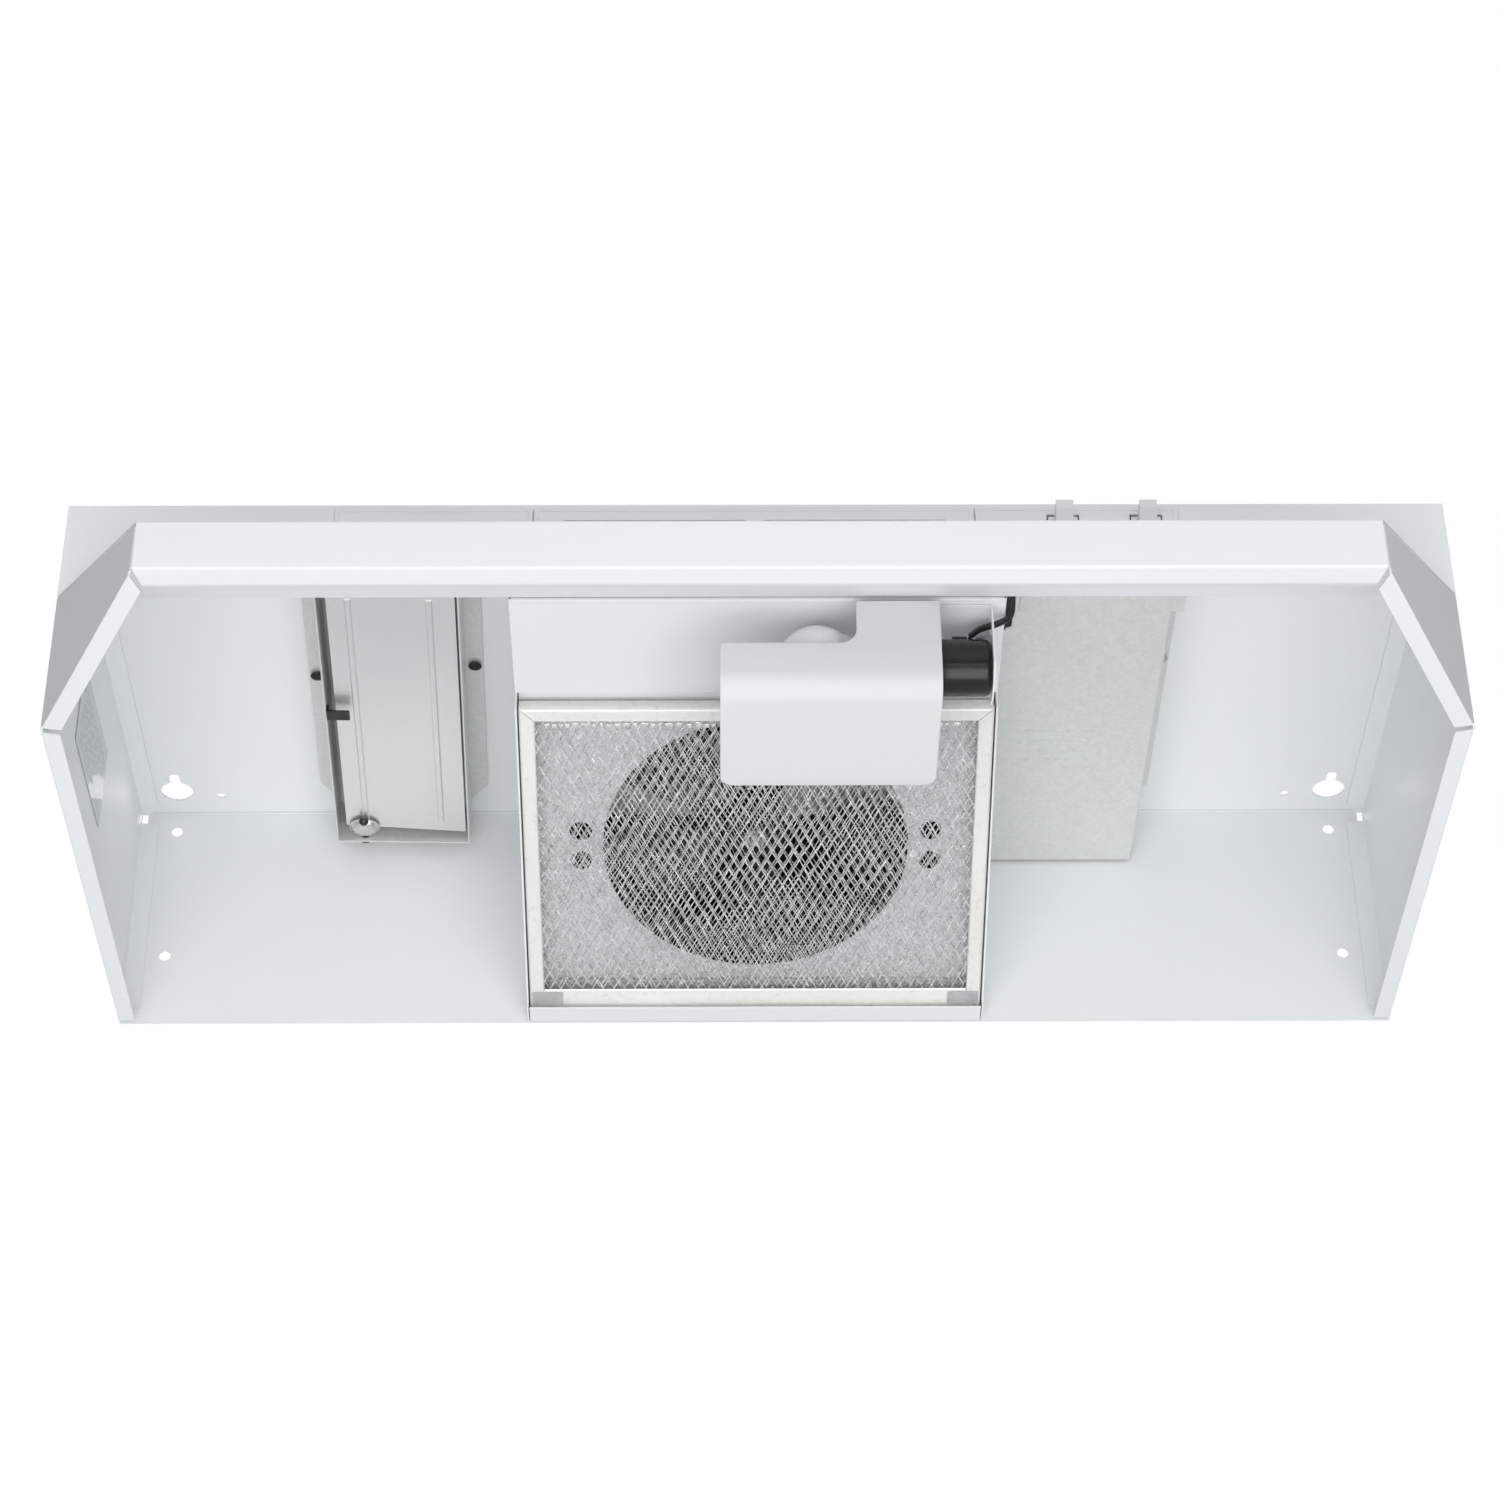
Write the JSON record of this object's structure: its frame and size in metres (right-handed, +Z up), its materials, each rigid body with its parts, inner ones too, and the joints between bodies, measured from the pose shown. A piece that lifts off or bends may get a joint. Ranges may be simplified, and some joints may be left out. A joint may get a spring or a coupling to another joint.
{
  "type": "under cabinet range hood",
  "caption": "Under cabinet range hood: enamelled canopy with a fan box, sloping mesh filter, lamp with frosted lens, two rocker switches and a stowed duct connector.",
  "frame": {"origin": "middle of the overall width and depth, on the canopy's top face that meets the cabinet", "axes": "+X right seen from the front, -Y to the front, +Z up"},
  "size_m": [0.762, 0.4444, 0.1524],
  "materials": {
    "enamel": "smooth white baked enamel, semi-gloss",
    "white_plastic": "moulded white plastic, satin",
    "black_plastic": "black moulded plastic, glossy",
    "black_screw": "blackened steel",
    "grey_plastic": "translucent grey plastic",
    "galvanised": "hot dip galvanised sheet with soft spangle",
    "steel": "plain steel",
    "copper": "enamelled copper winding",
    "bronze": "sintered bronze",
    "aluminium": "bright mill finish",
    "filter_foil": "layered expanded aluminium foil",
    "bulb_glass": "frosted glass",
    "frosted_plastic": "white translucent plastic",
    "rubber": "black rubber",
    "wire": "black insulation",
    "label": "printed paper sticker, no text"
  },
  "bodies": {
    "hood": {"top_back_panel": "enamel", "front_visor": "enamel", "left_side_panel": "enamel", "right_side_panel": "enamel", "top_round_knockout": "enamel", "top_rect_knockout": "enamel", "back_rect_knockout": "enamel", "top_conduit_knockout": "enamel", "back_conduit_knockout": "enamel", "fan_housing": "enamel", "orifice_plate": "enamel", "filter_ledge": "enamel", "socket_bracket": "enamel", "front_blank": "white_plastic", "vent_grille": "white_plastic", "switch_plate": "white_plastic", "fan_switch_case": "white_plastic", "light_switch_case": "white_plastic", "lamp_socket": "black_plastic", "damper_clip": "black_plastic", "collar_screw_left": "black_screw", "collar_screw_right": "black_screw", "wiring_cover": "galvanised", "duct_collar": "galvanised", "motor_bracket": "galvanised", "motor_front_bridge": "galvanised", "motor_rear_bridge": "galvanised", "bracket_screw_left": "steel", "bracket_screw_right": "steel", "motor_stator": "steel", "wiring_cover_screw": "steel", "motor_coil": "copper", "front_bearing": "bronze", "rear_bearing": "bronze", "bulb_base": "aluminium", "bulb_glass": "bulb_glass", "lamp_lens": "frosted_plastic", "wire_grommet": "rubber", "lamp_lead_front": "wire", "lamp_lead_rear": "wire", "motor_lead_front": "wire", "motor_lead_rear": "wire", "wiring_label": "label"},
    "fan": {"impeller": "black_plastic", "impeller_nut": "steel", "motor_shaft": "steel", "motor_rotor": "steel"},
    "fan_switch": {"fan_switch_rocker": "white_plastic"},
    "light_switch": {"light_switch_rocker": "white_plastic"},
    "filter": {"filter_frame": "aluminium", "filter_mesh": "filter_foil", "filter_retainer_left": "grey_plastic", "filter_retainer_right": "grey_plastic"},
    "damper": {"damper_flap": "aluminium", "damper_pivot_front": "black_plastic", "damper_pivot_rear": "black_plastic"}
  },
  "joints": [
    {"name": "fan_spin", "type": "hinge", "parent": "hood", "child": "fan", "pos_m": [0, 0.10597, -0.1113], "axis": [0, 0.3387, 0.9409], "continuous": true},
    {"name": "fan_switch_tilt", "type": "hinge", "parent": "hood", "child": "fan_switch", "pos_m": [0.16916, -0.08204, -0.02184], "axis": [1, 0, 0], "range_deg": [-12, 12]},
    {"name": "light_switch_tilt", "type": "hinge", "parent": "hood", "child": "light_switch", "pos_m": [0.21514, -0.08204, -0.02184], "axis": [1, 0, 0], "range_deg": [0, 20]},
    {"name": "filter_tilt", "type": "hinge", "parent": "hood", "child": "filter", "pos_m": [0, 0.2159, -0.15088], "axis": [1, 0, 0], "range_deg": [0, 12]},
    {"name": "damper_swing", "type": "hinge", "parent": "hood", "child": "damper", "pos_m": [-0.23506, 0.08357, -0.0254], "axis": [-0.0321, 0.9995, 0], "range_deg": [0, 80]}
  ]
}
